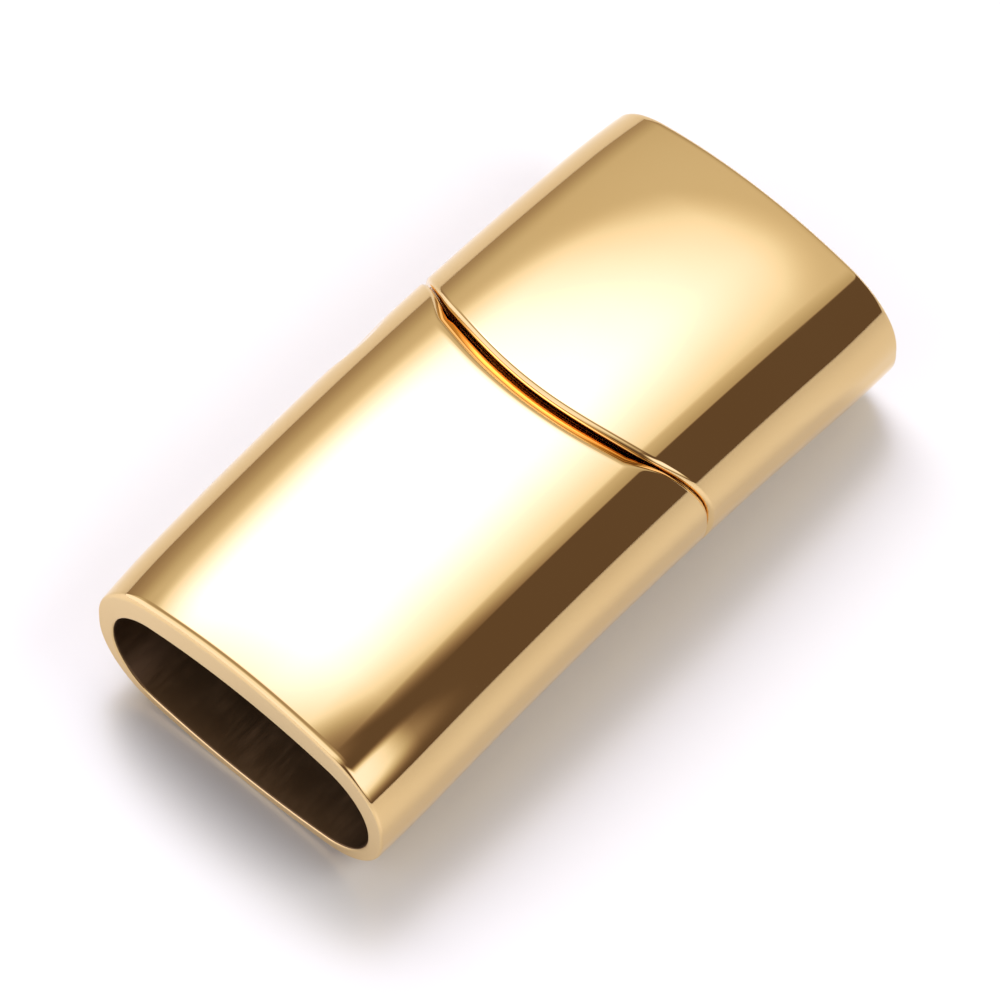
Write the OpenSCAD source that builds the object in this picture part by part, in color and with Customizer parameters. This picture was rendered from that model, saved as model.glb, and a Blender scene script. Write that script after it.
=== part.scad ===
// Magnetic clasp for a flat strap or a pair of cords. Two hollow halves meet on a curved face: the
// long half ends in a rounded nose, the short half in the cup that takes it. A bar magnet sits in each
// face, and each outer end has an oval slot where the strap is glued in. The clasp is arched along its
// length, so it lies on a wrist, and rests on the lower edges of its two ends.
// X runs along the clasp towards the short half, Y across it, Z up from the surface that it rests on.

/* [Body] */
// Length of the long half, from its slotted end to the tip of its nose
long_half_length = 16.6; // [15.5:0.1:20]
// Length of the short half, from the deepest line of its cup to its slotted end
short_half_length = 9.9; // [8.5:0.1:13]
// Width across the sides
width = 13.5; // [13.1:0.1:15]
// Thickness from the underside to the top of the crown
thickness = 7.3; // [7.1:0.1:8.5]
// Radius of the arch, on the middle of the thickness
arch_radius = 86; // [60:1:150]
// Radius of the crowned top, across the clasp
crown_radius = 17; // [14:0.5:40]
// Radius of the slightly crowned underside, across the clasp
base_radius = 30; // [25:1:90]
// Radius that joins the top to the sides
shoulder_radius = 3.2; // [2.6:0.1:3.4]
// Radius that joins the underside to the sides
heel_radius = 2.9; // [2.2:0.1:3.1]

/* [Strap slots] */
// Width of a slot
slot_width = 11.9; // [10.5:0.1:12.2]
// Height of a slot at its middle
slot_height = 5.4; // [4.8:0.1:5.8]
// Thickness of the wall under a slot
slot_under_wall = 0.4; // [0.35:0.05:0.8]
// Radius of the slot's crowned roof
slot_roof_radius = 20; // [15:1:40]
// Radius of the slot's floor
slot_floor_radius = 25; // [18:1:60]
// Radius of the slot's rounded sides
slot_side_radius = 2.3; // [1.6:0.1:2.3]
// Solid metal between the long half's slot and its magnet
long_web = 4.2; // [1:0.1:6]
// Solid metal between the short half's slot and its magnet
short_web = 1.6; // [0.8:0.1:3]

/* [Curved seam] */
// How far the nose's radius, seen from the side, passes the height from its tip to the crown's top
nose_ease = 0.3; // [0.05:0.05:1.4]
// How much larger the cup's radius is, which opens the seam towards the top and the underside
cup_ease = 0.1; // [0.05:0.05:1.5]
// Height of the tip of the nose below the middle of the thickness
nose_drop = 0.2; // [0:0.05:0.6]
// Gap between the closed halves at the tip of the nose
seam_gap = 0.06; // [0.04:0.01:0.15]

/* [Magnets] */
// Width of a magnet
magnet_width = 7.6; // [6:0.1:8.5]
// Height of a magnet
magnet_height = 3.2; // [2.6:0.1:3.4]
// Thickness of a magnet along the clasp
magnet_thickness = 2; // [1.5:0.1:2.2]
// Radius of the upright edges of a magnet
magnet_edge_radius = 0.5; // [0.3:0.05:1]
// Glue gap between a magnet and its pocket, on every side
magnet_fit = 0.05; // [0.03:0.01:0.1]
// Depth of the long half's magnet behind the tip of the nose
nose_recess = 0.45; // [0.4:0.05:0.8]
// Depth of the short half's magnet behind the deepest line of the cup
cup_recess = 0.1; // [0.05:0.05:0.4]

/* [Fingernail scoop] */
// Length of the scoop in the long half's left side
scoop_length = 2.6; // [2:0.1:3.5]
// Depth of the scoop
scoop_depth = 0.12; // [0.08:0.01:0.3]
// Distance from the middle of the scoop to the tip of the nose
scoop_from_nose = 3.6; // [2.8:0.1:5]
// Angle of the scoop above the middle of the shoulder rounding
scoop_angle = 25; // [10:1:40]

/* [Hidden] */
$fn = 96;

// Overshoot of a cut past the face that it opens
past = 1;

// Longest step between two points of an arc in an outline
arc_chord = 0.5;

length = long_half_length + seam_gap + short_half_length;
half_length = length / 2;
half_width = width / 2;
half_thickness = thickness / 2;

// Height of the arch's centreline crest, with the lower edges of the two ends at zero
underside_radius = arch_radius - half_thickness;
crest_z = arch_radius - sqrt(pow(underside_radius, 2) - pow(half_length, 2));

// Middle height of the slot over the middle of the thickness
slot_rise = slot_under_wall + slot_height / 2 - half_thickness;

// Tip of the nose, and the centres of the two seam circles, in the side view
nose_x = long_half_length - half_length;
nose_z = crest_z - nose_drop;
nose_radius = half_thickness + nose_drop + nose_ease;
nose_centre_x = nose_x - nose_radius;
cup_floor_x = nose_x + seam_gap;
cup_radius = nose_radius + cup_ease;
cup_centre_x = cup_floor_x - cup_radius;

// Front faces of the magnets
long_magnet_front = nose_x - nose_recess;
short_magnet_front = cup_floor_x + cup_recess;

// Inner ends of the slots
long_slot_end = long_magnet_front - magnet_thickness - magnet_fit - long_web;
short_slot_end = short_magnet_front + magnet_thickness + magnet_fit + short_web;

// Centre height of a corner rounding that touches a side at half_w and a crown arc at top_z
function corner_z(half_w, top_z, crown_r, corner_r) =
    top_z - crown_r + sqrt(pow(crown_r - corner_r, 2) - pow(half_w - corner_r, 2));

// Points of an arc, without its last one, as [height, across]; angles are measured from straight up.
// The number of steps is even, so a crown has a point on the clasp's middle line.
function arc_points(centre, r, from, to) =
    let (steps = 2 * ceil(abs(to - from) * PI / 360 * r / arc_chord))
    [for (i = [0 : steps - 1])
        let (t = from + (to - from) * i / steps)
        [centre[0] + r * cos(t), centre[1] + r * sin(t)]];

// Closed outline across the clasp: crown, two shoulders, base and two heels, with straight sides.
// Each corner arc touches its crown at the angle that the line through both centres has.
module outline(half_w, top_z, top_r, top_corner_r, bottom_z, bottom_r, bottom_corner_r) {
    top_corner_y = half_w - top_corner_r;
    bottom_corner_y = half_w - bottom_corner_r;
    upper_z = corner_z(half_w, top_z, top_r, top_corner_r);
    lower_z = -corner_z(half_w, -bottom_z, bottom_r, bottom_corner_r);
    top_turn = asin(top_corner_y / (top_r - top_corner_r));
    bottom_turn = asin(bottom_corner_y / (bottom_r - bottom_corner_r));
    polygon(concat(
        arc_points([top_z - top_r, 0], top_r, -top_turn, top_turn),
        arc_points([upper_z, top_corner_y], top_corner_r, top_turn, 90),
        [[upper_z, half_w]],
        arc_points([lower_z, bottom_corner_y], bottom_corner_r, 90, 180 - bottom_turn),
        arc_points([bottom_z + bottom_r, 0], bottom_r, 180 - bottom_turn, 180 + bottom_turn),
        arc_points([lower_z, -bottom_corner_y], bottom_corner_r, 180 + bottom_turn, 270),
        [[lower_z, -half_w]],
        arc_points([upper_z, -top_corner_y], top_corner_r, 270, 360 - top_turn)));
}

module body_outline() {
    outline(half_width, half_thickness, crown_radius, shoulder_radius,
            -half_thickness, base_radius, heel_radius);
}

module slot_outline() {
    outline(slot_width / 2, slot_rise + slot_height / 2, slot_roof_radius, slot_side_radius,
            slot_rise - slot_height / 2, slot_floor_radius, slot_side_radius);
}

// Sweeps an outline along the arch, from one station along X to another
module arched(from_x, to_x) {
    from_angle = asin(from_x / arch_radius);
    to_angle = asin(to_x / arch_radius);
    translate([0, 0, crest_z - arch_radius])
        rotate([90, 0, 0])
            rotate([0, 0, 90 - to_angle])
                rotate_extrude(angle = to_angle - from_angle, $fn = 360)
                    translate([arch_radius, 0]) children();
}

// The closed clasp's outer form, cut off upright at both ends
module clasp_blank() {
    intersection() {
        arched(-half_length - 2, half_length + 2) body_outline();
        translate([-half_length, -width, -past]) cube([length, 2 * width, crest_z + thickness]);
    }
}

// Everything on the long half's side of a seam circle
module behind_seam(centre_x, radius) {
    translate([-length, -width, -length]) cube([length + centre_x, 2 * width, 3 * length]);
    translate([centre_x, 0, nose_z]) rotate([90, 0, 0]) cylinder(r = radius, h = 2 * width, center = true, $fn = 180);
}

// A magnet's block with its front face at front_x, facing along direction, grown by fit
module magnet_block(front_x, direction, fit, front_extra) {
    depth = magnet_thickness + fit + front_extra;
    x = direction > 0 ? front_x - magnet_thickness - fit : front_x - front_extra;
    w = magnet_width + 2 * fit;
    h = magnet_height + 2 * fit;
    r = magnet_edge_radius + fit;
    translate([x, 0, nose_z]) rotate([90, 0, 90])
        linear_extrude(depth) {
            square([w - 2 * r, h], center = true);
            square([w, h - 2 * r], center = true);
            for (sy = [-1, 1], sz = [-1, 1])
                translate([sy * (w / 2 - r), sz * (h / 2 - r)]) circle(r = r, $fn = 32);
        }
}

// Shallow round scoop on the shoulder, for a fingernail
module fingernail_scoop() {
    ball_r = (pow(scoop_length / 2, 2) + pow(scoop_depth, 2)) / (2 * scoop_depth);
    shoulder_z = corner_z(half_width, half_thickness, crown_radius, shoulder_radius);
    reach = shoulder_radius + ball_r - scoop_depth;
    translate([nose_x - scoop_from_nose,
               half_width - shoulder_radius + reach * cos(scoop_angle),
               crest_z + shoulder_z + reach * sin(scoop_angle)])
        sphere(r = ball_r, $fn = 120);
}

module long_half() {
    color("gold")
    difference() {
        intersection() {
            clasp_blank();
            behind_seam(nose_centre_x, nose_radius);
        }
        arched(-half_length - past, long_slot_end) slot_outline();
        magnet_block(long_magnet_front, 1, magnet_fit, nose_recess + past);
        fingernail_scoop();
    }
}

module short_half() {
    color("gold")
    difference() {
        clasp_blank();
        behind_seam(cup_centre_x, cup_radius);
        arched(short_slot_end, half_length + past) slot_outline();
        magnet_block(short_magnet_front, -1, magnet_fit, cup_recess + past);
    }
}

module long_half_magnet() {
    color("silver") magnet_block(long_magnet_front, 1, 0, 0);
}

module short_half_magnet() {
    color("silver") magnet_block(short_magnet_front, -1, 0, 0);
}

long_half();
short_half();
long_half_magnet();
short_half_magnet();
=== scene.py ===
import math
from collections import namedtuple

import bpy
import numpy as np
from mathutils import Matrix, Vector


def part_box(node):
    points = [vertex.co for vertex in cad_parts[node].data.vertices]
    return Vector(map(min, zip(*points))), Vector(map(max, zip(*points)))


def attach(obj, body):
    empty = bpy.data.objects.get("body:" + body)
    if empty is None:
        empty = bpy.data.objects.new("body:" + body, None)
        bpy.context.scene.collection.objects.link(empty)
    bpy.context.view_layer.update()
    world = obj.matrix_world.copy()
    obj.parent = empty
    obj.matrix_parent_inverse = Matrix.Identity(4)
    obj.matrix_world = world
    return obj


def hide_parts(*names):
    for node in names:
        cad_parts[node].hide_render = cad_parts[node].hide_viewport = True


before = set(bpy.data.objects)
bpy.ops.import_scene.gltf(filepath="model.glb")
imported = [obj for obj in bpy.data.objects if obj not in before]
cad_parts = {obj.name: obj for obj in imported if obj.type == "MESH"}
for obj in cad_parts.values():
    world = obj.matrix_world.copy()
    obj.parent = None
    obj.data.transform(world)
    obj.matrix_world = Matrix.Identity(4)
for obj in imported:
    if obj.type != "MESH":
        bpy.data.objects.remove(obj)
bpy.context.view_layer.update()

MM = 0.001


# Sizes of the clasp
def node_box(node):
    """Lowest and highest corner of a CAD node, in millimetres."""
    return [np.array(corner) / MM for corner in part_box(node)]


long_high = node_box("long_half")[1]
short_high = node_box("short_half")[1]

half_length = short_high[0]
half_width = long_high[1]
thickness = 7.3
half_thickness = thickness / 2
arch_radius = 86.0
crown_radius = 17.0
shoulder_radius = 3.2
base_radius = 30.0
heel_radius = 2.9
crest_height = arch_radius - math.sqrt((arch_radius - half_thickness) ** 2 - half_length ** 2)

slot_width = 11.9
slot_height = 5.4
slot_under_wall = 0.4
slot_roof_radius = 20.0
slot_floor_radius = 25.0
slot_side_radius = 2.3
slot_rise = slot_under_wall + slot_height / 2 - half_thickness
long_web = 4.2
short_web = 1.6

# The seam circles, seen from the side, are centred on the height of the nose's tip
nose_drop = 0.2
nose_ease = 0.3
cup_ease = 0.1
seam_gap = 0.06
nose_radius = half_thickness + nose_drop + nose_ease
cup_radius = nose_radius + cup_ease
nose_x = long_high[0]
nose_height = crest_height - nose_drop
nose_centre = nose_x - nose_radius
cup_centre = nose_x + seam_gap - cup_radius

magnet_fit = 0.05
magnet_corner = 0.5
magnet_edge = 0.12

# The polished halves draw in a little towards their ends, like a barrel
side_draw = 0.10
crown_draw = 0.05
draw_length = 3.0

# Edge roundings
rim_crown_edge = 0.34
rim_side_edge = 0.12
mouth_edge = 0.12
nose_crown_edge = 0.85
nose_side_edge = 0.16
cup_lip_edge = 0.24
pocket_edge = 0.06
slot_end_edge = 0.30
pocket_floor_edge = 0.08

# The lip of the cup lies over a step in the nose, with an upright wall on both sides of the seam.
# The walls pass through the seam circle of the cup at seam_depth below the skin.
seam_depth = 0.28
lip_crown_thickness = 1.00
lip_side_thickness = 0.30
under_lip_gap = 0.10
crown_wall_gap = 0.12
side_wall_gap = 0.07
step_corner = 0.06
step_corner_share = 0.3
least_step = 0.004

# How an edge turns from the skin into a face, as shares of its way against shares of its turn
round_turning = ((0.0, 1.0), (0.0, 1.0))
nose_turning = ((0.0, 0.20, 0.35, 0.88, 1.0), (0.0, 0.06, 0.40, 0.48, 1.0))
rim_turning = ((0.0, 0.40, 0.70, 1.0), (0.0, 0.20, 0.65, 1.0))
EDGE_STEPS = 14
FINE_STEPS = 40

# Stretches of the arch that the seam and the rim lie in
seam_stretch = (-1.0, 6.0)
rim_stretch = (half_length - 2, half_length + 1)
HALVINGS = 40

# Fingernail scoop: part of a ball pressed into the long half's left shoulder
scoop_length = 2.6
scoop_depth = 0.12
scoop_from_nose = 3.6
scoop_edge = 0.03
scoop_angle = math.radians(25)
scoop_ball = ((scoop_length / 2) ** 2 + scoop_depth ** 2) / (2 * scoop_depth)
# Where the scoop lies, as shares of the way from rim to seam
scoop_first = 0.72
scoop_last = 0.91

Section = namedtuple("Section", "height across radius turn")
CROWN_STEPS = 48
SHOULDER_STEPS = 56
SIDE_STEPS = 8
HEEL_STEPS = 26
BASE_STEPS = 24
SLOT_END_STEPS = 4
SLOT_RINGS = 30
MOUTH_STEPS = 5
POLISHED_MOUTH_RINGS = 4
SKIN_RINGS = 46
RINGS_BEFORE_SCOOP = 44
RINGS_ON_SCOOP = 64
RINGS_AFTER_SCOOP = 12
CORNER_STEPS = 4
FACE_RINGS = 16
FIRST_FACE_SHARE = 0.01
POCKET_EDGE_STEPS = 4
POCKET_FLOOR_STEPS = 3
NEARLY_FLAT = 10000.0
UP = np.array([0.0, 0.0, 1.0])
ACROSS = np.array([0.0, 1.0, 0.0])
ALONG = np.array([1.0, 0.0, 0.0])


# Sections across the clasp
def corner_height(half_w, top, big, small):
    """Height of the centre of a corner rounding between a side and a crown arc."""
    return top - big + math.sqrt((big - small) ** 2 - (half_w - small) ** 2)


def lay_section(half_w, top, top_r, top_corner, bottom, bottom_r, bottom_corner):
    """A closed outline as arcs: the centre, radius and turn from straight up of every point on it."""
    upper = corner_height(half_w, top, top_r, top_corner)
    lower = -corner_height(half_w, -bottom, bottom_r, bottom_corner)
    top_across = half_w - top_corner
    low_across = half_w - bottom_corner
    top_turn = math.asin(top_across / (top_r - top_corner))
    low_turn = math.asin(low_across / (bottom_r - bottom_corner))
    quarter = math.pi / 2
    parts = []

    def arc(centre, radius, start, end, steps):
        for turn in np.linspace(start, end, steps, endpoint=False):
            parts.append((*centre, radius, turn))

    def side(start, end, turn):
        for share in np.linspace(0, 1, SIDE_STEPS, endpoint=False):
            parts.append((*(np.array(start) * (1 - share) + np.array(end) * share), turn))

    arc((top - top_r, 0), top_r, -top_turn, top_turn, CROWN_STEPS)
    arc((upper, top_across), top_corner, top_turn, quarter, SHOULDER_STEPS)
    side((upper, top_across, top_corner), (lower, low_across, bottom_corner), quarter)
    arc((lower, low_across), bottom_corner, quarter, math.pi - low_turn, HEEL_STEPS)
    arc((bottom + bottom_r, 0), bottom_r, math.pi - low_turn, math.pi + low_turn, BASE_STEPS)
    arc((lower, -low_across), bottom_corner, math.pi + low_turn, 3 * quarter, HEEL_STEPS)
    side((lower, -low_across, bottom_corner), (upper, -top_across, top_corner), 3 * quarter)
    arc((upper, -top_across), top_corner, 3 * quarter, 4 * quarter - top_turn, SHOULDER_STEPS)
    return Section(*np.array(parts).T)


body_section = lay_section(half_width, half_thickness, crown_radius, shoulder_radius,
                           -half_thickness, base_radius, heel_radius)
slot_section = lay_section(slot_width / 2, slot_rise + slot_height / 2, slot_roof_radius,
                           slot_side_radius, slot_rise - slot_height / 2, slot_floor_radius,
                           slot_side_radius)


def pocket_section(width, height, corner):
    """The outline of a magnet's pocket, with flat sides."""
    return lay_section(width / 2, height / 2, NEARLY_FLAT, corner, -height / 2, NEARLY_FLAT, corner)


def outline(section, grow=0.0):
    """Height and sideways place of every point of a section, moved outwards by grow."""
    radius = section.radius + grow
    return (section.height + radius * np.cos(section.turn),
            section.across + radius * np.sin(section.turn))


# The arch
def arch_axes(angle):
    """Outward and lengthwise directions at an angle along the arch."""
    sine, cosine = np.sin(angle), np.cos(angle)
    none = np.zeros_like(sine)
    return np.stack([sine, none, cosine], -1), np.stack([cosine, none, -sine], -1)


def on_arch(height, across, angle):
    """Points at a height over the middle of the thickness, sideways and at an angle along the arch."""
    outward, _ = arch_axes(angle)
    return ((arch_radius + height)[:, None] * outward + across[:, None] * ACROSS
            + (crest_height - arch_radius) * UP)


def skin(station):
    """Points and outward normals of the outer skin, at a distance along the arch for every point."""
    height, across = outline(body_section)
    past_start = np.clip((np.abs(station) - (half_length - draw_length)) / draw_length, 0, None)
    draw = past_start ** 2
    draw_slope = 2 * past_start * np.sign(station) / draw_length
    upper = height > 0
    across_scale = 1 - side_draw / half_width * draw
    height_scale = np.where(upper, 1 - crown_draw / half_thickness * draw, 1)
    height_slope = np.where(upper, -crown_draw / half_thickness * draw_slope * height, 0)
    across_slope = -side_draw / half_width * draw_slope * across
    normal_up = np.cos(body_section.turn) / height_scale
    normal_across = np.sin(body_section.turn) / across_scale
    normal_along = -(normal_up * height_slope + normal_across * across_slope)
    outward, along = arch_axes(station / arch_radius)
    points = on_arch(height * height_scale, across * across_scale, station / arch_radius)
    normals = (normal_up[:, None] * outward + normal_across[:, None] * ACROSS
               + normal_along[:, None] * along)
    return points, normals / np.linalg.norm(normals, axis=1)[:, None]


def crown_to_side(on_crown, on_side, first=6, last=40):
    """A value for every point of the section, which changes from the turn first to the turn last, in
    degrees from straight up."""
    turn = np.degrees(np.abs((body_section.turn + math.pi) % (2 * math.pi) - math.pi))
    share = np.clip((turn - first) / (last - first), 0, 1)
    share = share * share * (3 - 2 * share)
    return on_crown + (on_side - on_crown) * share


def settle(low, high, is_past):
    """Halves an interval for every point of the section until is_past changes inside it."""
    low = np.full(len(body_section.turn), float(low))
    high = np.full(len(body_section.turn), float(high))
    for _ in range(HALVINGS):
        middle = (low + high) / 2
        past = is_past(middle)
        high = np.where(past, middle, high)
        low = np.where(past, low, middle)
    return (low + high) / 2


def round_edge(centre, side, radius, start, end, steps):
    """Rings of an edge rounding. The ball's centre is in the metal for side 1 and outside for side -1."""
    opening = np.arccos(np.clip((start * end).sum(1), -1, 1))[:, None]
    rings = []
    for share in np.linspace(0, 1, steps + 1):
        normal = (np.sin((1 - share) * opening) * start + np.sin(share * opening) * end) / np.sin(opening)
        rings.append((centre + side * np.reshape(radius, (-1, 1)) * normal, normal))
    return rings


def roll_edge(points, outward, wall, reach, turning):
    """Rings of an edge that rolls from the skin, at the given points, into a face with the normal wall.
    It takes up the length reach along the skin."""
    opening = np.arccos((outward * wall).sum(1))
    into = (wall - np.cos(opening)[:, None] * outward) / np.sin(opening)[:, None]
    shares = np.linspace(0, 1, FINE_STEPS * EDGE_STEPS + 1)
    turned = np.interp(shares, *turning)[:, None] * opening
    middle = (turned[1:] + turned[:-1]) / 2
    start = np.zeros((1, len(opening)))
    along = np.concatenate([start, np.cumsum(np.cos(middle), 0)])[::FINE_STEPS]
    deep = np.concatenate([start, np.cumsum(np.sin(middle), 0)])[::FINE_STEPS]
    scale = reach / along[-1]
    rings = []
    for far, down, turn in zip(along * scale, deep * scale, turned[::FINE_STEPS]):
        rings.append((points + far[:, None] * into - down[:, None] * outward,
                      np.cos(turn)[:, None] * outward + np.sin(turn)[:, None] * into))
    return rings


def seam_direction(points, seam_centre):
    """Directions out from a seam circle's centre line, and the distances from it."""
    out = (points - [seam_centre, 0, nose_height]) * [1, 0, 1]
    distance = np.linalg.norm(out, axis=1)
    return out / distance[:, None], distance


# Rings of a half, from the inner end of its slot, round the rim and along the skin to its magnet.
# The end is -1 or 1 along X, and facing is 1 for the nose and -1 for the cup.
Half = namedtuple("Half", (
    "end", "slot_end", "seam_centre", "seam_radius", "facing", "seam_edge", "turning", "wall_depth",
    "wall_shift", "magnet"))


def slot_rings(half):
    """From the slot's inner end along its wall to the mouth's edge rounding."""
    end_angle = np.full(len(slot_section.turn), math.asin(half.slot_end / arch_radius))
    outward, along = arch_axes(end_angle)
    wall = -(np.cos(slot_section.turn)[:, None] * outward + np.sin(slot_section.turn)[:, None] * ACROSS)
    ball_angle = end_angle + half.end * slot_end_edge / arch_radius
    ball = on_arch(*outline(slot_section, -slot_end_edge), ball_angle)
    rings = round_edge(ball, -1, slot_end_edge, half.end * along, wall, SLOT_END_STEPS)

    ball_height, ball_across = outline(slot_section, mouth_edge)
    mouth_angle = half.end * np.arcsin((half_length - mouth_edge) / (arch_radius + ball_height))
    height, across = outline(slot_section)
    for share in np.linspace(0, 1, SLOT_RINGS)[1:-1]:
        angle = ball_angle + (mouth_angle - ball_angle) * share
        outward, _ = arch_axes(angle)
        wall = -(np.cos(slot_section.turn)[:, None] * outward
                 + np.sin(slot_section.turn)[:, None] * ACROSS)
        rings.append((on_arch(height, across, angle), wall))

    outward, _ = arch_axes(mouth_angle)
    wall = -(np.cos(slot_section.turn)[:, None] * outward + np.sin(slot_section.turn)[:, None] * ACROSS)
    face = np.tile(half.end * ALONG, (len(wall), 1))
    ball = on_arch(ball_height, ball_across, mouth_angle)
    rings += round_edge(ball, 1, mouth_edge, wall, face, MOUTH_STEPS)
    return rings


def press_scoop(points, normals):
    """Presses the ball of the fingernail scoop into the skin."""
    shoulder = corner_height(half_width, half_thickness, crown_radius, shoulder_radius)
    reach = shoulder_radius + scoop_ball - scoop_depth
    centre = np.array([nose_x - scoop_from_nose,
                       half_width - shoulder_radius + reach * math.cos(scoop_angle),
                       crest_height + shoulder + reach * math.sin(scoop_angle)])
    out = points - centre
    distance = np.linalg.norm(out, axis=1)
    out = out / distance[:, None]
    under = scoop_ball - distance
    soft = np.sqrt(under ** 2 + scoop_edge ** 2)
    pressed = points + ((under + soft) / 2)[:, None] * out
    share = ((1 + under / soft) / 2)[:, None]
    normals = normals * (1 - share) - out * share
    return pressed, normals / np.linalg.norm(normals, axis=1)[:, None]


def inset(station, depth):
    """Points below the skin, and the skin's normals."""
    points, normals = skin(station)
    return points - np.reshape(depth, (-1, 1)) * normals, normals


def on_seam_circle(depth, centre, radius):
    """Where the seam circle cuts the surface at a depth below the skin."""
    return settle(*seam_stretch,
                  lambda station: seam_direction(inset(station, depth)[0], centre)[1] > radius)


def seam_wall(half):
    """The station where the seam's edge rounding starts, and the direction into the seam there."""
    middle, normals = inset(on_seam_circle(seam_depth, cup_centre, cup_radius), seam_depth)
    along = seam_direction(middle, cup_centre)[0]
    along = along - (along * normals).sum(1)[:, None] * normals
    along = along / np.linalg.norm(along, axis=1)[:, None]
    wall = middle - np.reshape(half.wall_shift, (-1, 1)) * along

    def is_past(station):
        return ((skin(station)[0] - wall) * along).sum(1) > -half.facing * half.seam_edge

    return settle(*seam_stretch, is_past), half.facing * along


def skin_shares(has_scoop):
    """Where the rings lie between the rim and the seam. They are closer together at the scoop."""
    if not has_scoop:
        return np.linspace(0, 1, SKIN_RINGS)
    return np.concatenate([np.linspace(0, scoop_first, RINGS_BEFORE_SCOOP),
                           np.linspace(scoop_first, scoop_last, RINGS_ON_SCOOP)[1:],
                           np.linspace(scoop_last, 1, RINGS_AFTER_SCOOP)[1:]])


def skin_rings(half, has_scoop):
    """From the rim's edge rounding along the skin to the seam's edge rounding."""
    rim_edge = crown_to_side(rim_crown_edge, rim_side_edge, first=15, last=75)
    face = np.tile(half.end * ALONG, (len(rim_edge), 1))

    def rim_rings(out):
        return roll_edge(*skin(half.end * out), face, rim_edge, rim_turning)[::-1]

    rim = settle(*rim_stretch, lambda out: half.end * rim_rings(out)[0][0][:, 0] > half_length)
    rings = rim_rings(rim)
    rim = half.end * rim
    seam, into_seam = seam_wall(half)
    for share in skin_shares(has_scoop)[1:-1]:
        points, normals = skin(rim + (seam - rim) * share)
        if has_scoop:
            points, normals = press_scoop(points, normals)
        rings.append((points, normals))
    return rings + roll_edge(*skin(seam), into_seam, half.seam_edge, half.turning)


def wall_rings(half, edge):
    """From the edge rounding down the wall, then along the step's floor or the lip's underside."""
    seam, into_seam = seam_wall(half)
    start, outward = skin(seam)
    edge_depth = ((start - edge) * outward).sum(1)
    foot = edge - (half.wall_depth - edge_depth)[:, None] * outward
    end = inset(on_seam_circle(half.wall_depth, half.seam_centre, half.seam_radius), half.wall_depth)[0]
    forward = half.facing * into_seam
    step = np.maximum(((end - foot) * forward).sum(1), least_step)[:, None]
    end = foot + step * forward
    corner = np.minimum(step_corner_share * step, step_corner)
    floor = half.facing * outward
    ball = foot + corner * (forward + outward)
    rings = round_edge(ball, -half.facing, corner, into_seam, floor, CORNER_STEPS)
    rings.append((end, floor))
    return rings, end


def seam_rings(half, start):
    """The seam face from its outer edge to the magnet's pocket, then the pocket."""
    low, high = half.magnet
    size = high - low
    pocket = pocket_section(size[1] + 2 * magnet_fit, size[2] + 2 * magnet_fit,
                            magnet_corner + magnet_fit)
    out = np.stack([0 * pocket.turn, np.sin(pocket.turn), np.cos(pocket.turn)], -1)
    ball_height, ball_across = outline(pocket, pocket_edge)
    ball_reach = half.seam_radius - half.facing * pocket_edge
    ball = np.stack([half.seam_centre + np.sqrt(ball_reach ** 2 - ball_height ** 2),
                     ball_across, nose_height + ball_height], -1)
    face = half.facing * seam_direction(ball, half.seam_centre)[0]
    mouth = ball + pocket_edge * face
    rings = []
    for share in (FIRST_FACE_SHARE, *np.linspace(0, 1, FACE_RINGS)[1:-1]):
        points = start + (mouth - start) * share
        rise = points[:, 2] - nose_height
        points[:, 0] = half.seam_centre + np.sqrt(half.seam_radius ** 2 - rise ** 2)
        rings.append((points, half.facing * seam_direction(points, half.seam_centre)[0]))
    rings += round_edge(ball, 1, pocket_edge, face, -out, POCKET_EDGE_STEPS)

    floor_x = low[0] - magnet_fit if half.facing > 0 else high[0] + magnet_fit
    ball_height, ball_across = outline(pocket, -pocket_floor_edge)
    ball = np.stack([np.full(len(ball_across), floor_x + half.facing * pocket_floor_edge),
                     ball_across, nose_height + ball_height], -1)
    floor = np.tile(half.facing * ALONG, (len(ball), 1))
    rings += round_edge(ball, -1, pocket_floor_edge, -out, floor, POCKET_FLOOR_STEPS)
    return rings, np.array([floor_x, 0, nose_height])


# Meshes. A half's materials are in this order.
# The slot's and the seam's materials darken the gold with painted shade
POLISHED, UNPOLISHED_WITH_PAINTED_SHADE, BRUSHED_WITH_PAINTED_SHADE = range(3)


def loft(name, rings, first_pole, last_pole, slots):
    """A closed skin through rings of points, with a pole at each end and the given normals."""
    count = len(rings[0][0])
    points = np.concatenate([ring[0] for ring in rings] + [[first_pole[0]], [last_pole[0]]])
    normals = np.concatenate([ring[1] for ring in rings] + [[first_pole[1]], [last_pole[1]]])
    here = np.arange(count)
    after = (here + 1) % count
    faces = []
    kinds = []
    for row in range(len(rings) - 1):
        a, b = row * count, (row + 1) * count
        faces += np.stack([a + here, a + after, b + after, b + here], -1).tolist()
        kinds += [slots[row]] * count
    last = (len(rings) - 1) * count
    pole = len(rings) * count
    faces += np.stack([after, here, np.full(count, pole)], -1).tolist()
    faces += np.stack([last + here, last + after, np.full(count, pole + 1)], -1).tolist()
    kinds += [slots[0]] * count + [slots[-1]] * count
    corners = points[np.array([face[:3] for face in faces])]
    facing = np.cross(corners[:, 1] - corners[:, 0], corners[:, 2] - corners[:, 0])
    agreement = (facing * normals[[face[0] for face in faces]]).sum()
    if agreement < 0:
        faces = [face[::-1] for face in faces]
    mesh = bpy.data.meshes.new(name)
    mesh.from_pydata((points * MM).tolist(), [], faces)
    mesh.polygons.foreach_set("material_index", np.array(kinds, np.int32))
    mesh.polygons.foreach_set("use_smooth", np.ones(len(faces), bool))
    mesh.normals_split_custom_set_from_vertices(normals.tolist())
    mesh.update()
    piece = bpy.data.objects.new(name, mesh)
    bpy.context.scene.collection.objects.link(piece)
    return piece


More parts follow.
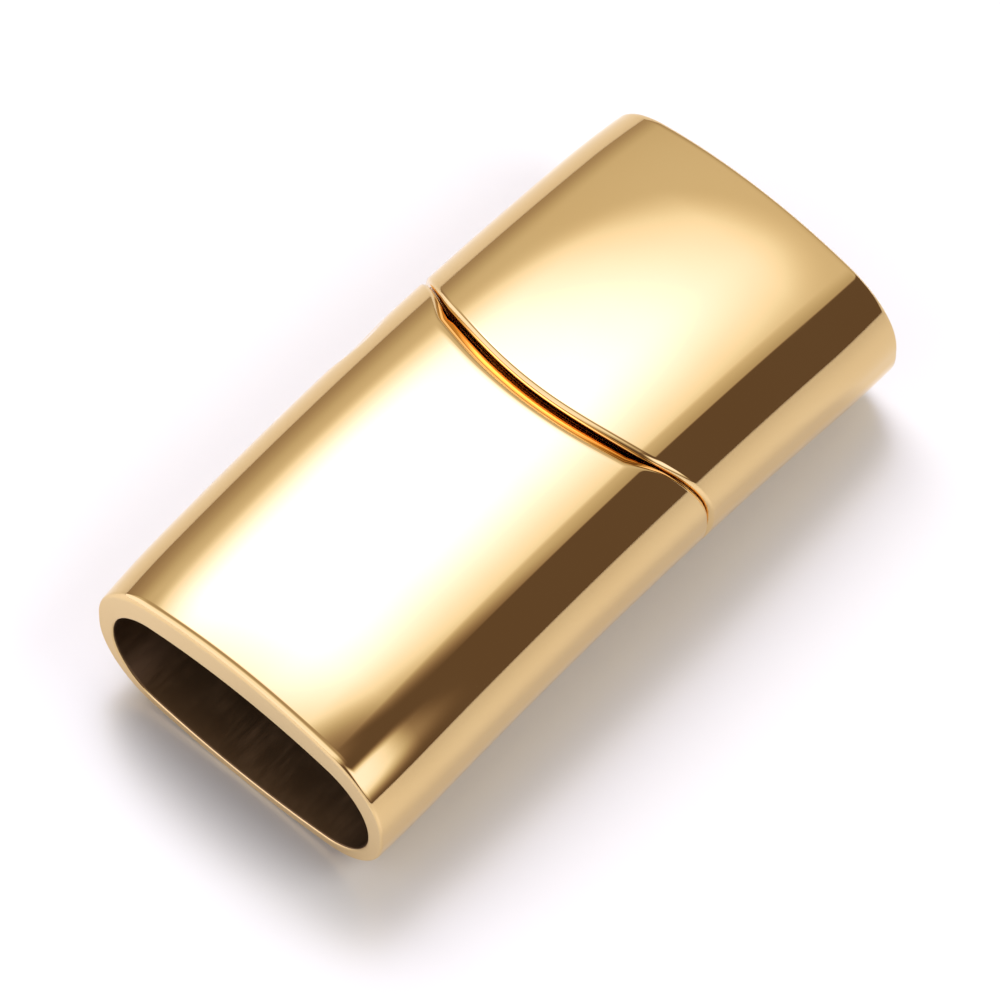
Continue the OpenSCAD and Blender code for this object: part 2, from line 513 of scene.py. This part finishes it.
def build_half(name, half, has_scoop=False):
    """One closed mesh, polished outside, unpolished in the slot and brushed in the seam; the slot's and
    the seam's gold are darkened with painted shade.
    """
    slot = slot_rings(half)
    outer = skin_rings(half, has_scoop)
    wall, seam_start = wall_rings(half, outer[-1][0])
    inner, pocket_floor = seam_rings(half, seam_start)
    inner = wall + inner
    slots = ([UNPOLISHED_WITH_PAINTED_SHADE] * (len(slot) - POLISHED_MOUTH_RINGS)
             + [POLISHED] * (len(outer) + POLISHED_MOUTH_RINGS)
             + [BRUSHED_WITH_PAINTED_SHADE] * len(inner))
    end_angle = np.array([math.asin(half.slot_end / arch_radius)])
    along = arch_axes(end_angle)[1][0]
    slot_floor = on_arch(np.array([slot_rise]), np.array([0.0]), end_angle)[0]
    return loft(name, slot + outer + inner, (slot_floor, half.end * along),
                (pocket_floor, half.facing * ALONG), slots)


# Shader helpers
def math_node(tree, operation, *values, clamp=False):
    """Result of a math node whose inputs are numbers or sockets."""
    node = tree.nodes.new("ShaderNodeMath")
    node.operation = operation
    node.use_clamp = clamp
    for socket, value in zip(node.inputs, values):
        if isinstance(value, (int, float)):
            socket.default_value = value
        else:
            tree.links.new(value, socket)
    return node.outputs[0]


def product(tree, first, *others):
    """All the values multiplied together."""
    for other in others:
        first = math_node(tree, "MULTIPLY", first, other)
    return first


def total(tree, first, *others):
    """The sum of all the values."""
    for other in others:
        first = math_node(tree, "ADD", first, other)
    return first


def ease(tree, value, low, high, start=0.0, end=1.0):
    """Goes smoothly from start to end while value goes from low to high."""
    node = tree.nodes.new("ShaderNodeMapRange")
    node.interpolation_type = "SMOOTHSTEP"
    tree.links.new(value, node.inputs["Value"])
    node.inputs["From Min"].default_value = low
    node.inputs["From Max"].default_value = high
    node.inputs["To Min"].default_value = start
    node.inputs["To Max"].default_value = end
    return node.outputs["Result"]


def build_polish_group():
    """Slow cloudiness and fine hairlines that every polished surface has."""
    group = bpy.data.node_groups.new("Polish", "ShaderNodeTree")
    face = group.interface
    inputs = (("Cloud scale", 200.0), ("Hairline scale", 2500.0), ("Smoothest", 0.03),
              ("Roughest", 0.08), ("Tone change", 0.05))
    for label, value in inputs:
        socket = face.new_socket(label, in_out="INPUT", socket_type="NodeSocketFloat")
        socket.default_value = value
    for label in ("Tone", "Roughness", "Height"):
        face.new_socket(label, in_out="OUTPUT", socket_type="NodeSocketFloat")
    take = group.nodes.new("NodeGroupInput")
    give = group.nodes.new("NodeGroupOutput")
    place = group.nodes.new("ShaderNodeTexCoord")

    def noise(scale, detail, coordinates):
        node = group.nodes.new("ShaderNodeTexNoise")
        group.links.new(coordinates, node.inputs["Vector"])
        group.links.new(scale, node.inputs["Scale"])
        node.inputs["Detail"].default_value = detail
        return node.outputs["Fac"]

    cloud = noise(take.outputs["Cloud scale"], 3.0, place.outputs["Object"])
    # The hairlines run along the clasp
    stretch = group.nodes.new("ShaderNodeMapping")
    stretch.inputs["Scale"].default_value = (0.06, 1.0, 1.0)
    group.links.new(place.outputs["Object"], stretch.inputs["Vector"])
    hairline = noise(take.outputs["Hairline scale"], 2.0, stretch.outputs["Vector"])
    spread = math_node(group, "SUBTRACT", take.outputs["Roughest"], take.outputs["Smoothest"])
    share = product(group, ease(group, cloud, 0.3, 0.7), ease(group, hairline, 0.3, 0.75))
    roughness = math_node(group, "MULTIPLY_ADD", share, spread, take.outputs["Smoothest"])
    centred = math_node(group, "SUBTRACT", cloud, 0.5)
    tone = math_node(group, "MULTIPLY_ADD", centred, take.outputs["Tone change"], 0.5, clamp=True)
    group.links.new(tone, give.inputs["Tone"])
    group.links.new(roughness, give.inputs["Roughness"])
    group.links.new(hairline, give.inputs["Height"])
    return group


polish = build_polish_group()


def metal(name, deep, pale, settings, bump_height):
    """A metal whose colour runs between two tones, with the polish group's roughness and hairlines."""
    material = bpy.data.materials.new(name)
    material.use_nodes = True
    tree = material.node_tree
    shader = tree.nodes["Principled BSDF"]
    shader.inputs["Metallic"].default_value = 1.0
    wear = tree.nodes.new("ShaderNodeGroup")
    wear.node_tree = polish
    for label, value in settings.items():
        wear.inputs[label].default_value = value
    tones = tree.nodes.new("ShaderNodeMix")
    tones.data_type = "RGBA"
    tones.inputs["A"].default_value = (*deep, 1)
    tones.inputs["B"].default_value = (*pale, 1)
    bump = tree.nodes.new("ShaderNodeBump")
    bump.inputs["Strength"].default_value = 1.0
    bump.inputs["Distance"].default_value = bump_height * MM
    tree.links.new(wear.outputs["Tone"], tones.inputs["Factor"])
    tree.links.new(tones.outputs["Result"], shader.inputs["Base Color"])
    tree.links.new(wear.outputs["Roughness"], shader.inputs["Roughness"])
    tree.links.new(wear.outputs["Height"], bump.inputs["Height"])
    tree.links.new(bump.outputs["Normal"], shader.inputs["Normal"])
    return material


polished_gold = metal("Polished gold plating", (0.93, 0.66, 0.32), (0.96, 0.72, 0.38),
                      {"Cloud scale": 180.0, "Hairline scale": 3000.0, "Smoothest": 0.03,
                       "Roughest": 0.07, "Tone change": 1.0}, bump_height=0.00004)
# The slot's gold is far darker than the plating's own colour: painted shade for the deep slot. Its higher
# roughness is the unpolished finish.
rough_gold_with_painted_shade = metal("Unpolished gold plating with painted shade", (0.17, 0.105, 0.055), (0.21, 0.13, 0.07),
                  {"Cloud scale": 900.0, "Hairline scale": 5000.0, "Smoothest": 0.40,
                   "Roughest": 0.55, "Tone change": 1.0}, bump_height=0.004)
# The seam's gold is darker than the polished plating: painted shade on the faces between the halves. Its
# roughness is the brushed finish.
brushed_gold_with_painted_shade = metal("Brushed gold plating with painted shade", (0.72, 0.51, 0.28), (0.78, 0.57, 0.33),
                  {"Cloud scale": 400.0, "Hairline scale": 4000.0, "Smoothest": 0.24,
                   "Roughest": 0.32, "Tone change": 1.0}, bump_height=0.0001)
bright_nickel = metal("Bright nickel plating", (0.66, 0.64, 0.60), (0.76, 0.75, 0.73),
                      {"Cloud scale": 700.0, "Hairline scale": 4000.0, "Smoothest": 0.12,
                       "Roughest": 0.26, "Tone change": 1.5}, bump_height=0.0008)


# Magnets
weld_reach = 0.001


def build_bar_tree():
    """Geometry nodes for a bar with rounded upright edges, which runs along X from its place Start."""
    tree = bpy.data.node_groups.new("Magnet bar", "GeometryNodeTree")
    face = tree.interface
    face.new_socket("Geometry", in_out="INPUT", socket_type="NodeSocketGeometry")
    for label in ("Width", "Height", "Thickness", "Corner radius", "Start", "Middle height"):
        face.new_socket(label, in_out="INPUT", socket_type="NodeSocketFloat")
    face.new_socket("Finish", in_out="INPUT", socket_type="NodeSocketMaterial")
    face.new_socket("Geometry", in_out="OUTPUT", socket_type="NodeSocketGeometry")
    take = tree.nodes.new("NodeGroupInput")
    give = tree.nodes.new("NodeGroupOutput")
    link = tree.links.new

    oblong = tree.nodes.new("GeometryNodeCurvePrimitiveQuadrilateral")
    link(take.outputs["Height"], oblong.inputs["Width"])
    link(take.outputs["Width"], oblong.inputs["Height"])
    corners = tree.nodes.new("GeometryNodeFilletCurve")
    corners.mode = "POLY"
    corners.inputs["Count"].default_value = 8
    link(oblong.outputs["Curve"], corners.inputs["Curve"])
    link(take.outputs["Corner radius"], corners.inputs["Radius"])
    plate = tree.nodes.new("GeometryNodeFillCurve")
    plate.mode = "NGONS"
    link(corners.outputs["Curve"], plate.inputs["Curve"])
    stand = tree.nodes.new("GeometryNodeTransform")
    stand.inputs["Rotation"].default_value = (0, math.radians(-90), 0)
    link(plate.outputs["Mesh"], stand.inputs["Geometry"])
    block = tree.nodes.new("GeometryNodeExtrudeMesh")
    block.mode = "FACES"
    along = tree.nodes.new("ShaderNodeCombineXYZ")
    along.inputs["X"].default_value = 1.0
    link(stand.outputs["Geometry"], block.inputs["Mesh"])
    link(along.outputs["Vector"], block.inputs["Offset"])
    link(take.outputs["Thickness"], block.inputs["Offset Scale"])
    back = tree.nodes.new("GeometryNodeFlipFaces")
    link(stand.outputs["Geometry"], back.inputs["Mesh"])
    both = tree.nodes.new("GeometryNodeJoinGeometry")
    link(block.outputs["Mesh"], both.inputs["Geometry"])
    link(back.outputs["Mesh"], both.inputs["Geometry"])
    weld = tree.nodes.new("GeometryNodeMergeByDistance")
    weld.inputs["Distance"].default_value = weld_reach * MM
    link(both.outputs["Geometry"], weld.inputs["Geometry"])
    place = tree.nodes.new("ShaderNodeCombineXYZ")
    link(take.outputs["Start"], place.inputs["X"])
    link(take.outputs["Middle height"], place.inputs["Z"])
    move = tree.nodes.new("GeometryNodeTransform")
    link(weld.outputs["Geometry"], move.inputs["Geometry"])
    link(place.outputs["Vector"], move.inputs["Translation"])
    realise = tree.nodes.new("GeometryNodeRealizeInstances")
    link(move.outputs["Geometry"], realise.inputs["Geometry"])
    finish = tree.nodes.new("GeometryNodeSetMaterial")
    link(realise.outputs["Geometry"], finish.inputs["Geometry"])
    link(take.outputs["Finish"], finish.inputs["Material"])
    link(finish.outputs["Geometry"], give.inputs["Geometry"])
    return tree


bar_tree = build_bar_tree()


def build_magnet(name, low, high):
    """A bar magnet between two corners, as a plain mesh with rounded edges."""
    size = (high - low) * MM
    middle = (high + low) / 2 * MM
    sizes = {"Width": size[1], "Height": size[2], "Thickness": size[0],
             "Corner radius": magnet_corner * MM, "Start": low[0] * MM, "Middle height": middle[2],
             "Finish": bright_nickel}
    holder = bpy.data.objects.new(name + " pattern", bpy.data.meshes.new(name + " pattern"))
    bpy.context.scene.collection.objects.link(holder)
    bar = holder.modifiers.new("Magnet bar", "NODES")
    bar.node_group = bar_tree
    for item in bar_tree.interface.items_tree:
        if item.in_out == "INPUT" and item.name in sizes:
            value = sizes[item.name]
            bar[item.identifier] = value if item.name == "Finish" else float(value)
    edges = holder.modifiers.new("Rounded edges", "BEVEL")
    edges.width = magnet_edge * MM
    edges.segments = 4
    edges.limit_method = "ANGLE"
    edges.angle_limit = math.radians(40)
    edges.harden_normals = True
    evaluated = holder.evaluated_get(bpy.context.evaluated_depsgraph_get())
    mesh = bpy.data.meshes.new_from_object(evaluated)
    mesh.name = name
    mesh.polygons.foreach_set("use_smooth", np.ones(len(mesh.polygons), bool))
    bpy.data.objects.remove(holder)
    piece = bpy.data.objects.new(name, mesh)
    bpy.context.scene.collection.objects.link(piece)
    return piece


# The pieces
long_magnet = node_box("long_half_magnet")
short_magnet = node_box("short_half_magnet")
long_slot_end = long_magnet[0][0] - magnet_fit - long_web
short_slot_end = short_magnet[1][0] + magnet_fit + short_web

lip_thickness = crown_to_side(lip_crown_thickness, lip_side_thickness)
# The step grows shallower later than the lip, because its points lie further in at the shoulders
step_depth = crown_to_side(lip_crown_thickness, lip_side_thickness, first=18, last=56) + under_lip_gap
long_piece = build_half("long_half_polished", Half(
    end=-1, slot_end=long_slot_end, seam_centre=nose_centre, seam_radius=nose_radius, facing=1,
    seam_edge=crown_to_side(nose_crown_edge, nose_side_edge), turning=nose_turning,
    wall_depth=step_depth, wall_shift=crown_to_side(crown_wall_gap, side_wall_gap),
    magnet=long_magnet), has_scoop=True)
short_piece = build_half("short_half_polished", Half(
    end=1, slot_end=short_slot_end, seam_centre=cup_centre, seam_radius=cup_radius, facing=-1,
    seam_edge=cup_lip_edge, turning=round_turning, wall_depth=lip_thickness, wall_shift=0.0,
    magnet=short_magnet))
long_bar = build_magnet("long_half_bar_magnet", *long_magnet)
short_bar = build_magnet("short_half_bar_magnet", *short_magnet)

for piece, node, body in ((long_piece, "long_half", "long_body"),
                          (short_piece, "short_half", "short_body")):
    for finish in (polished_gold, rough_gold_with_painted_shade, brushed_gold_with_painted_shade):
        piece.data.materials.append(finish)
    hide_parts(node)
    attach(piece, body)
for piece, node, body in ((long_bar, "long_half_magnet", "long_body"),
                          (short_bar, "short_half_magnet", "short_body")):
    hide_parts(node)
    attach(piece, body)


# Floor
def build_floor():
    """A glossy white board, far larger than the picture."""
    reach = 8.0
    mesh = bpy.data.meshes.new("Studio floor")
    mesh.from_pydata([(-reach, -reach, 0), (reach, -reach, 0), (reach, reach, 0), (-reach, reach, 0)],
                     [], [(0, 1, 2, 3)])
    floor = bpy.data.objects.new("Studio floor", mesh)
    bpy.context.scene.collection.objects.link(floor)
    material = bpy.data.materials.new("Glossy white board")
    material.use_nodes = True
    shader = material.node_tree.nodes["Principled BSDF"]
    shader.inputs["Base Color"].default_value = (0.64, 0.64, 0.62, 1)
    shader.inputs["Roughness"].default_value = 0.30
    shader.inputs["IOR"].default_value = 2.2
    mesh.materials.append(material)


build_floor()


# Light. The surroundings give a brightness for every direction.
room_light = 0.125
panel_light = 2.6
window_light = 1.4
lowest_slope = 0.02

# The tint by brightness times tint_scale: dark places are warm and bright ones are white
tint_scale = 0.37
tint_stops = (
    (0.05, (1.00, 0.66, 0.45)),
    (0.20, (1.00, 0.88, 0.68)),
    (0.30, (1.00, 0.94, 0.85)),
    (0.37, (1.00, 1.00, 1.00)),
    (0.50, (0.92, 0.86, 1.00)),
    (0.70, (0.80, 0.74, 1.00)),
    (1.00, (0.90, 0.88, 1.00)),
)


def overhead_panel(tree, panel_x, panel_y, near_edge):
    """A soft panel, laid out flat over the clasp."""
    far_edge = ease(tree, panel_x, 0.38, 0.96, 1.0, 0.0)
    right_edge = ease(tree, panel_y, -0.25, 0.25)
    leftward = math_node(tree, "MULTIPLY_ADD", panel_x, -0.22, panel_y)
    left_edge = ease(tree, leftward, 0.71, 1.15, 1.0, 0.0)
    return product(tree, near_edge, far_edge, right_edge, left_edge)


def backdrop(tree, x, y, z, panel_y, near_edge):
    """A grey backdrop behind and to the left, with a ceiling over it."""
    level_reach = math_node(tree, "SQRT", total(tree, product(tree, x, x), product(tree, y, y)))
    level_x = math_node(tree, "DIVIDE", x, level_reach)
    wall = product(tree, ease(tree, level_x, -0.1, 0.65, 0.24, 0.50), ease(tree, z, 0.0, 0.5, 0.55, 1.0))
    ceiling = product(tree, ease(tree, panel_y, -0.55, -0.10, 0.36, 0.56), near_edge)
    is_high = ease(tree, z, 0.3, 0.75)
    is_low = math_node(tree, "SUBTRACT", 1.0, is_high)
    return total(tree, product(tree, wall, is_low), product(tree, ceiling, is_high))


def low_window(tree, x, y, z):
    """A window low on the right, beside the long half's end."""
    bearing = math_node(tree, "ARCTAN2", y, x)
    right_edge = ease(tree, bearing, math.radians(-86), math.radians(-74), 1.0, 0.0)
    left_edge = ease(tree, bearing, math.radians(-150), math.radians(-120))
    sill = ease(tree, z, 0.0, 0.45)
    top_edge = ease(tree, z, 0.66, 0.80, 1.0, 0.0)
    return product(tree, right_edge, left_edge, sill, top_edge)


def front_wall(tree, slope, right_line):
    """A pale wall on the long half's side, behind the camera's left."""
    face = ease(tree, slope, -0.55, -0.25, 1.0, 0.28)
    top_edge = ease(tree, slope, -0.12, 0.10, 1.0, 0.0)
    right_edge = ease(tree, right_line, -0.10, 0.30)
    return product(tree, face, top_edge, right_edge)


def build_surroundings():
    """The panel, backdrop, window and front wall in a dark room, as the world's light."""
    world = bpy.data.worlds.new("Studio")
    bpy.context.scene.world = world
    world.use_nodes = True
    tree = world.node_tree
    look = tree.nodes.new("ShaderNodeTexCoord")
    split = tree.nodes.new("ShaderNodeSeparateXYZ")
    tree.links.new(look.outputs["Generated"], split.inputs[0])
    x, y, z = split.outputs
    height = math_node(tree, "MAXIMUM", z, lowest_slope)
    panel_x = math_node(tree, "DIVIDE", x, height)
    panel_y = math_node(tree, "DIVIDE", y, height)
    slant = math_node(tree, "MULTIPLY_ADD", math_node(tree, "MINIMUM", panel_y, 0.0), 0.6, panel_x)
    near_edge = ease(tree, slant, -0.12, 0.18)
    # The backdrop ends on the right at a crisp line
    right_line = math_node(tree, "MULTIPLY_ADD", z, 0.53, y)
    is_left = ease(tree, right_line, -0.02, 0.02)

    level = total(tree,
                  product(tree, overhead_panel(tree, panel_x, panel_y, near_edge), panel_light),
                  product(tree, backdrop(tree, x, y, z, panel_y, near_edge), is_left),
                  front_wall(tree, panel_x, right_line),
                  product(tree, low_window(tree, x, y, z), window_light),
                  room_light)

    tint = tree.nodes.new("ShaderNodeValToRGB")
    ramp = tint.color_ramp
    while len(ramp.elements) < len(tint_stops):
        ramp.elements.new(0.5)
    for element, (position, colour) in zip(ramp.elements, tint_stops):
        element.position = position
        element.color = (*colour, 1)
    tree.links.new(product(tree, level, tint_scale), tint.inputs["Fac"])
    background = tree.nodes["Background"]
    tree.links.new(tint.outputs["Color"], background.inputs["Color"])
    tree.links.new(level, background.inputs["Strength"])


build_surroundings()


def aim(thing, place, target):
    """Puts a light or camera in place and points it at the target."""
    turn = (Vector(target) - Vector(place)).to_track_quat("-Z", "Y")
    thing.matrix_world = Matrix.Translation(place) @ turn.to_matrix().to_4x4()


def build_lamp(name, bearing, elevation, distance, size, power):
    """A soft lamp that lights the floor and doesn't show in the gold."""
    lamp = bpy.data.lights.new(name, "AREA")
    lamp.shape = "DISK"
    lamp.size = size
    lamp.energy = power
    holder = bpy.data.objects.new(name, lamp)
    bpy.context.scene.collection.objects.link(holder)
    holder.visible_glossy = False
    bearing, elevation = math.radians(bearing), math.radians(elevation)
    aim(holder, (distance * math.cos(elevation) * math.cos(bearing),
                 distance * math.cos(elevation) * math.sin(bearing),
                 distance * math.sin(elevation)), (0, 0, 0))


build_lamp("Floor lamp behind", bearing=70, elevation=50, distance=0.3, size=0.15, power=0.30)
build_lamp("Floor lamp on the right", bearing=-70, elevation=50, distance=0.3, size=0.15, power=0.42)


# Camera, at the photograph's angle
def build_camera():
    """Looks at the clasp's crest, which lies rise pixels over the picture's middle."""
    picture_width = 1000
    pixels_per_mm = 28.9
    rise = 35.0
    distance = 450.0
    bearing, elevation = math.radians(47.6), math.radians(59.2)
    ahead = np.array([math.sin(bearing), math.cos(bearing), 0.0])
    back = -math.cos(elevation) * ahead + math.sin(elevation) * UP
    screen_up = math.sin(elevation) * ahead + math.cos(elevation) * UP
    crest = crest_height * UP
    data = bpy.data.cameras.new("Camera")
    data.sensor_width = 36.0
    data.lens = data.sensor_width * pixels_per_mm * distance / picture_width
    data.clip_start = 0.01
    data.clip_end = 100.0
    camera = bpy.data.objects.new("Camera", data)
    bpy.context.scene.collection.objects.link(camera)
    target = crest - screen_up * rise / pixels_per_mm
    place = crest + back * distance
    aim(camera, place * MM, target * MM)
    bpy.context.scene.camera = camera


build_camera()
bpy.context.scene.view_settings.view_transform = "Standard"
# Light bounces many times between the two gold faces of the seam
bpy.context.scene.cycles.max_bounces = 24
bpy.context.scene.cycles.glossy_bounces = 8
